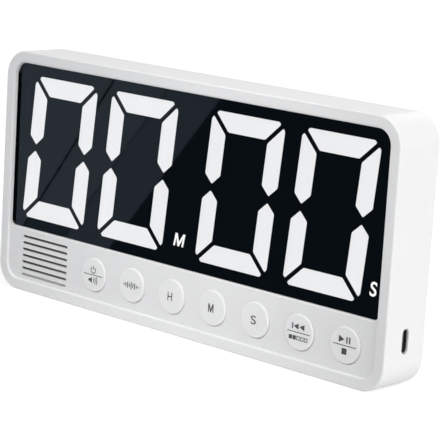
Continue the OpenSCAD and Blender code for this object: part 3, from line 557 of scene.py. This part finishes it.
signLook = {"stroke": 0.36, "upper": 2.1, "lower": -2.1, "dividerWide": 10.4, "dividerTall": 0.3}


def divider():
    return barShape(0, 0, signLook["dividerWide"], signLook["dividerTall"])


def powerSign():
    ring = {"lift": -0.15, "radius": 1.25, "turn": (125, 415), "steps": 24}
    stem = {"lift": 0.75, "tall": 1.5}
    horn = {"back": -2.4, "neck": -1.5, "mouth": -0.5, "thin": 0.5, "wide": 1.25}
    waves = {"from": -0.6, "arcs": [(1.1, 42), (2.0, 38), (2.9, 32)], "steps": 12}  # radius, half turn
    stroke = signLook["stroke"]
    upper = signLook["upper"]
    lower = signLook["lower"]
    hornTop = [(horn["mouth"], horn["wide"]), (horn["neck"], horn["thin"]), (horn["back"], horn["thin"])]
    shapes = [
        divider(),
        arcShape(0, upper + ring["lift"], ring["radius"], stroke, *ring["turn"], ring["steps"]),
        barShape(0, upper + stem["lift"], stroke, stem["tall"]),
        [(u, lower - v) for u, v in hornTop[::-1]] + [(u, lower + v) for u, v in hornTop],
    ]
    for radius, turn in waves["arcs"]:
        shapes.append(arcShape(waves["from"], lower, radius, stroke, -turn, turn, waves["steps"]))
    return shapes


def soundSign():
    bars = {"pitch": 0.95, "wide": 0.46, "tall": [0.8, 1.5, 2.3, 1.3, 2.9, 1.7, 2.4, 1.1, 0.6]}
    middle = (len(bars["tall"]) - 1) / 2
    shapes = []
    for i, tall in enumerate(bars["tall"]):
        shapes.append(barShape((i - middle) * bars["pitch"], 0, bars["wide"], tall))
    return shapes


def resetSign():
    stop = {"at": -2.9, "wide": 0.55, "tall": 2.2}
    arrows = {"tips": [-2.4, 0.3], "run": 2.3, "half": 1.1}
    squares = {"size": 1.5, "thick": 0.3, "full": [-3.6, -1.8], "open": [0, 1.8, 3.6]}
    size = squares["size"]
    upper = signLook["upper"]
    lower = signLook["lower"]
    shapes = [divider(), barShape(stop["at"], upper, stop["wide"], stop["tall"])]
    shapes += [arrowShape(tip, upper, arrows["run"], arrows["half"]) for tip in arrows["tips"]]
    shapes += [barShape(u, lower, size, size) for u in squares["full"]]
    for u in squares["open"]:
        shapes += boxShape(u, lower, size, squares["thick"])
    return shapes


def startSign():
    arrow = {"tip": -0.2, "run": -2.5, "half": 1.25}
    pause = {"at": [0.95, 2.15], "wide": 0.6, "tall": 2.3}
    stopSize = 2.2
    upper = signLook["upper"]
    shapes = [divider(), arrowShape(arrow["tip"], upper, arrow["run"], arrow["half"])]
    shapes += [barShape(u, upper, pause["wide"], pause["tall"]) for u in pause["at"]]
    shapes.append(barShape(0, signLook["lower"], stopSize, stopSize))
    return shapes


# The letter M from its own outline in a unit box, for sharp inner corners
def sharpLetter(width, height, lean, weight, thick):
    stem = 0.155 + weight
    foot = stem * 0.42
    shoulder = stem * 1.25
    notch = 0.62
    valley = 0.36
    outline = [
        (0, 0), (stem, 0), (stem, notch), (0.5 - foot, 0), (0.5 + foot, 0), (1 - stem, notch),
        (1 - stem, 0), (1, 0), (1, 1), (1 - shoulder, 1), (0.5, valley), (shoulder, 1), (0, 1),
    ]
    shear = lean * height / width
    points = [((u - 0.5) + shear * (v - 0.5), v - 0.5) for u, v in outline]
    reach = max(u for u, v in points) - min(u for u, v in points)
    sized = [(u / reach * width / mm, v * height / mm) for u, v in points]
    work = bmesh.new()
    addPrism(work, sized, Vector((0, 0, 0)), thick)
    bmesh.ops.recalc_face_normals(work, faces=work.faces[:])
    mesh = bpy.data.meshes.new("letter")
    work.to_mesh(mesh)
    work.free()
    return mesh


# Any other letter from the font, stretched to its measured box
def fontLetter(letter, width, height, lean, weight, thick):
    roughDepth = 0.01  # tells its front from its back
    curve = bpy.data.curves.new("letter", "FONT")
    curve.body = letter
    curve.shear = lean
    curve.offset = weight
    curve.extrude = roughDepth
    holder = addObject("letter", curve)
    bpy.context.view_layer.update()
    mesh = bpy.data.meshes.new_from_object(holder.evaluated_get(bpy.context.evaluated_depsgraph_get()))
    bpy.data.objects.remove(holder)
    bpy.data.curves.remove(curve)
    across = [v.co.x for v in mesh.vertices]
    upward = [v.co.y for v in mesh.vertices]
    sizeX = max(across) - min(across)
    sizeY = max(upward) - min(upward)
    midX = (max(across) + min(across)) / 2
    midY = (max(upward) + min(upward)) / 2
    for v in mesh.vertices:
        x, y, z = v.co
        v.co = ((x - midX) / sizeX * width, -thick if z > 0 else 0.0, (y - midY) / sizeY * height)
    return mesh


def letterMesh(letter, *measures):
    if letter == "M":
        return sharpLetter(*measures)
    return fontLetter(letter, *measures)


def placeLetter(pieceName, mesh, place, body, material):
    for v in mesh.vertices:
        v.co = v.co + place
    mesh.name = pieceName
    mesh.materials.clear()
    mesh.materials.append(material)
    piece = addObject(pieceName, mesh)
    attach(piece, body)


capPrint = {
    "thick": 0.03 * mm, "tall": 3.2 * mm, "lean": 0.0, "weight": 0.006,
    "shift": Vector((-0.4 * mm, 0, 0)),
    "letters": {"hours": ("H", 2.35 * mm), "minutes": ("M", 2.7 * mm), "seconds": ("S", 2.5 * mm)},
    "signs": {"power": powerSign, "sound": soundSign, "reset": resetSign, "start": startSign},
}
for name in buttonNames:
    place = frontMiddle("button_" + name)
    body = name + "_button"
    if name in capPrint["letters"]:
        letter, wide = capPrint["letters"][name]
        measures = (wide, capPrint["tall"], capPrint["lean"], capPrint["weight"], capPrint["thick"])
        mesh = letterMesh(letter, *measures)
        placeLetter("sign." + name, mesh, place + capPrint["shift"], body, materials["print"])
    else:
        work = bmesh.new()
        for outline in capPrint["signs"][name]():
            addPrism(work, outline, place, capPrint["thick"])
        bmesh.ops.recalc_face_normals(work, faces=work.faces[:])
        finishPiece(work, "sign." + name, body, materials["print"], [])
print("button signs printed")

# Unit letters of the display, one over each lens, on the film behind the window
unitLook = {"thick": 0.01 * mm, "weight": 0.02, "proud": 0.005 * mm, "drop": 0.15 * mm}
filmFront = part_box("segment_mask")[0].y
lensPoints = [v.co.copy() for v in nodes["unit_lenses"].data.vertices]
lensSplit = frontMiddle("unit_lenses").x
leftLens = [p for p in lensPoints if p.x < lensSplit]
rightLens = [p for p in lensPoints if p.x > lensSplit]
unitLetters = {
    "M": {"lens": leftLens, "wide": 6.1 * mm, "tall": 4.95 * mm, "lean": 0.23},
    "S": {"lens": rightLens, "wide": 3.15 * mm, "tall": 5.3 * mm, "lean": 0.1},
}
for letter, look in unitLetters.items():
    across = [p.x for p in look["lens"]]
    upward = [p.z for p in look["lens"]]
    midX = (min(across) + max(across)) / 2
    midZ = (min(upward) + max(upward)) / 2
    place = Vector((midX, filmFront - unitLook["proud"], midZ - unitLook["drop"]))
    measures = (look["wide"], look["tall"], look["lean"], unitLook["weight"], unitLook["thick"])
    mesh = letterMesh(letter, *measures)
    placeLetter("unit." + letter, mesh, place, "case", materials["digit"])
print("unit letters placed")


# Stage

stageLook = {
    "floorTone": 0.75, "floorShade": 0.99, "floorLift": 0.5, "clouds": 3.0, "cloudDetail": 2.0,
    "half": 30.0, "sky": 0.39,
}


# 1 where the camera, a gloss or a clear sheet looks, and 0 for light that falls on the object
def seenDirectly(tree):
    path = tree.nodes.new("ShaderNodeLightPath")
    seen = path.outputs["Is Camera Ray"]
    for ray in ("Is Glossy Ray", "Is Transmission Ray"):
        either = tree.nodes.new("ShaderNodeMath")
        either.operation = "MAXIMUM"
        tree.links.new(seen, either.inputs[0])
        tree.links.new(path.outputs[ray], either.inputs[1])
        seen = either.outputs["Value"]
    return seen


def bareMaterial(name):
    material = bpy.data.materials.new(name)
    material.use_nodes = True
    material.node_tree.nodes.clear()
    return material, material.node_tree


# White paper, lifted where it is seen directly
def floorMaterial(look):
    material, tree = bareMaterial("floor")
    clouds = addNoise(tree, look["clouds"], look["cloudDetail"])
    shade = look["floorTone"] * look["floorShade"]
    tones = addTones(tree, clouds, grey(shade), grey(look["floorTone"]))
    matte = tree.nodes.new("ShaderNodeBsdfDiffuse")
    lift = tree.nodes.new("ShaderNodeEmission")
    both = tree.nodes.new("ShaderNodeAddShader")
    end = tree.nodes.new("ShaderNodeOutputMaterial")
    level = addStep(tree, "MULTIPLY", seenDirectly(tree), look["floorLift"])
    tree.links.new(tones, matte.inputs["Color"])
    tree.links.new(level, lift.inputs["Strength"])
    tree.links.new(matte.outputs["BSDF"], both.inputs[0])
    tree.links.new(lift.outputs["Emission"], both.inputs[1])
    tree.links.new(both.outputs["Shader"], end.inputs["Surface"])
    return material


def stageSheet(name, corners, material):
    mesh = bpy.data.meshes.new(name)
    mesh.from_pydata(corners, [], [list(range(len(corners)))])
    mesh.materials.append(material)
    sheet = addObject(name, mesh)
    return sheet


# Corners of a rectangle that lies level, faces the front or faces the side
def levelCorners(x, y, z):
    return [(x[0], y[0], z), (x[1], y[0], z), (x[1], y[1], z), (x[0], y[1], z)]


def frontCorners(x, y, z):
    return [(x[0], y, z[0]), (x[1], y, z[0]), (x[1], y, z[1]), (x[0], y, z[1])]


def sideCorners(x, y, z):
    return [(x, y[0], z[0]), (x, y[1], z[0]), (x, y[1], z[1]), (x, y[0], z[1])]


floorSpan = (-stageLook["half"], stageLook["half"])
stageSheet("floor", levelCorners(floorSpan, floorSpan, 0), floorMaterial(stageLook))

world = bpy.data.worlds.new("world")
world.use_nodes = True
bpy.context.scene.world = world
worldTree = world.node_tree
sky = worldTree.nodes["Background"]
sky.inputs["Color"].default_value = (*grey(1.0), 1.0)
skyLevel = addRange(worldTree, seenDirectly(worldTree), fullSpan, (stageLook["sky"], 1.0))
worldTree.links.new(skyLevel, sky.inputs["Strength"])


# A card that shows only in reflections
def addCard(name, corners, tone):
    material, tree = bareMaterial(name)
    glow = tree.nodes.new("ShaderNodeEmission")
    glow.inputs["Color"].default_value = (*tone, 1.0)
    end = tree.nodes.new("ShaderNodeOutputMaterial")
    tree.links.new(glow.outputs["Emission"], end.inputs["Surface"])
    sheet = stageSheet(name, corners, material)
    sheet.visible_camera = False
    sheet.visible_diffuse = False
    sheet.visible_transmission = False
    sheet.visible_volume_scatter = False
    sheet.visible_shadow = False


# A dark card on the table, one that stands in front, and a bright one overhead for edges that face up
cardLift = 0.4 * mm
darkCard = {"x": (-1.6, 1.6), "y": (-1.6, -0.02), "tone": (0.057, 0.095, 0.14)}
addCard("darkCard", levelCorners(darkCard["x"], darkCard["y"], cardLift), darkCard["tone"])
frontCard = {"x": (-2.5, 2.5), "y": -1.65, "z": (cardLift, 1.6), "tone": (0.11, 0.13, 0.15)}
addCard("frontCard", frontCorners(frontCard["x"], frontCard["y"], frontCard["z"]), frontCard["tone"])
overCard = {"x": (-1.5, 0.6), "y": (-1.2, -0.2), "z": 1.0, "tone": grey(4.0)}
addCard("overCard", levelCorners(overCard["x"], overCard["y"], overCard["z"]), overCard["tone"])

# A dark card on the left inner wall of the rim, seen only in reflections: a painted dark reflection of
# that wall in the window
wallReflectionCard = {"inset": 0.03 * mm, "z": (24 * mm, 93 * mm), "tone": (0.02, 0.03, 0.04)}
wallX = windowLow.x + wallReflectionCard["inset"]
addCard("wallReflectionCard", sideCorners(wallX, (caseLow.y, windowLow.y), wallReflectionCard["z"]), wallReflectionCard["tone"])

# Pale cards on the table, side by side. Each line is a card's right edge as it shows in the window:
# its place across at the top height and at the low one, in millimetres
glare = {
    "top": 91.5, "low": 27.0,
    "lines": [(14.9, -38.0), (-12.4, -63.4), (-41.0, -88.3)],
    "tones": [(0.29, 0.39, 0.51), (0.38, 0.49, 0.62), (0.39, 0.51, 0.63)],
    "gaps": [0.02, 0.045],  # dark gap on the left of a card, as a share of its width
    "lastWide": 1.2, "lift": 0.8 * mm,
    "farReach": 2.0, "nearReach": 0.15,  # how far a card runs on past the window, as a share
}
dimCard = {"band": 1, "below": 32.5, "tone": (0.15, 0.225, 0.31)}


def reflectedOnTable(x, z):
    spot = Vector((x * mm, windowLow.y, z * mm))
    ray = spot - Vector(cameraLook["place"])
    ray.y = -ray.y
    return spot + ray * (glare["lift"] - spot.z) / ray.z


def lineSpot(i, z):
    topX, lowX = glare["lines"][i]
    share = (glare["top"] - z) / (glare["top"] - glare["low"])
    return reflectedOnTable(topX + (lowX - topX) * share, z)


# Right and left edge of a card, where one height of the window shows it
def cardEdges(i, z):
    right = lineSpot(i, z)
    if i + 1 == len(glare["lines"]):
        return right, right - Vector((glare["lastWide"], 0, 0))
    left = lineSpot(i + 1, z)
    return right, left + (right - left) * glare["gaps"][i]


for i, tone in enumerate(glare["tones"]):
    tops = cardEdges(i, glare["top"])
    lows = cardEdges(i, glare["low"])
    far = [top + (top - low) * glare["farReach"] for top, low in zip(tops, lows)]
    near = [low + (low - top) * glare["nearReach"] for top, low in zip(tops, lows)]
    if i == dimCard["band"]:
        split = cardEdges(i, dimCard["below"])
        addCard("dimCard", [near[0], near[1], split[1], split[0]], dimCard["tone"])
        near = split
    addCard("paleCard%d" % i, [near[0], near[1], far[1], far[0]], tone)
print("stage set")

# A soft key from the right, weaker ones from the upper left and behind, and two soft spots on the front
sunAim = (0.0, 0.0, 0.0)
spotPlace = (0.1, -0.6, 0.2)
suns = {
    "keySun": {"place": (0.93, -0.1, 0.36), "aim": sunAim, "energy": 1.9, "cone": 50},
    "leftSun": {"place": (-0.5, -0.55, 0.67), "aim": sunAim, "energy": 0.49, "cone": 22},
    "backSun": {"place": (-0.25, 0.9, 0.36), "aim": sunAim, "energy": 0.6, "cone": 40},
}
spots = {
    "nearSpot": {"place": spotPlace, "aim": (-0.005, 0.0, 0.035), "energy": 7.9, "cone": 14},
    "upperSpot": {"place": spotPlace, "aim": (0.07, 0.0, 0.1), "energy": 5.4, "cone": 13},
}
spotLook = {"blend": 1.0, "size": 0.08}


def addLamp(name, kind, look):
    data = bpy.data.lights.new(name, kind)
    data.energy = look["energy"]
    lamp = addObject(name, data)
    lamp.location = look["place"]
    lamp.rotation_mode = "QUATERNION"
    lamp.rotation_quaternion = turnTo(look["place"], look["aim"])
    return lamp


for name, look in suns.items():
    lamp = addLamp(name, "SUN", look)
    lamp.data.angle = math.radians(look["cone"])
for name, look in spots.items():
    lamp = addLamp(name, "SPOT", look)
    lamp.data.spot_size = math.radians(look["cone"])
    lamp.data.spot_blend = spotLook["blend"]
    lamp.data.shadow_soft_size = spotLook["size"]
    lamp.visible_glossy = False  # no glare on the window
print("lamps lit")
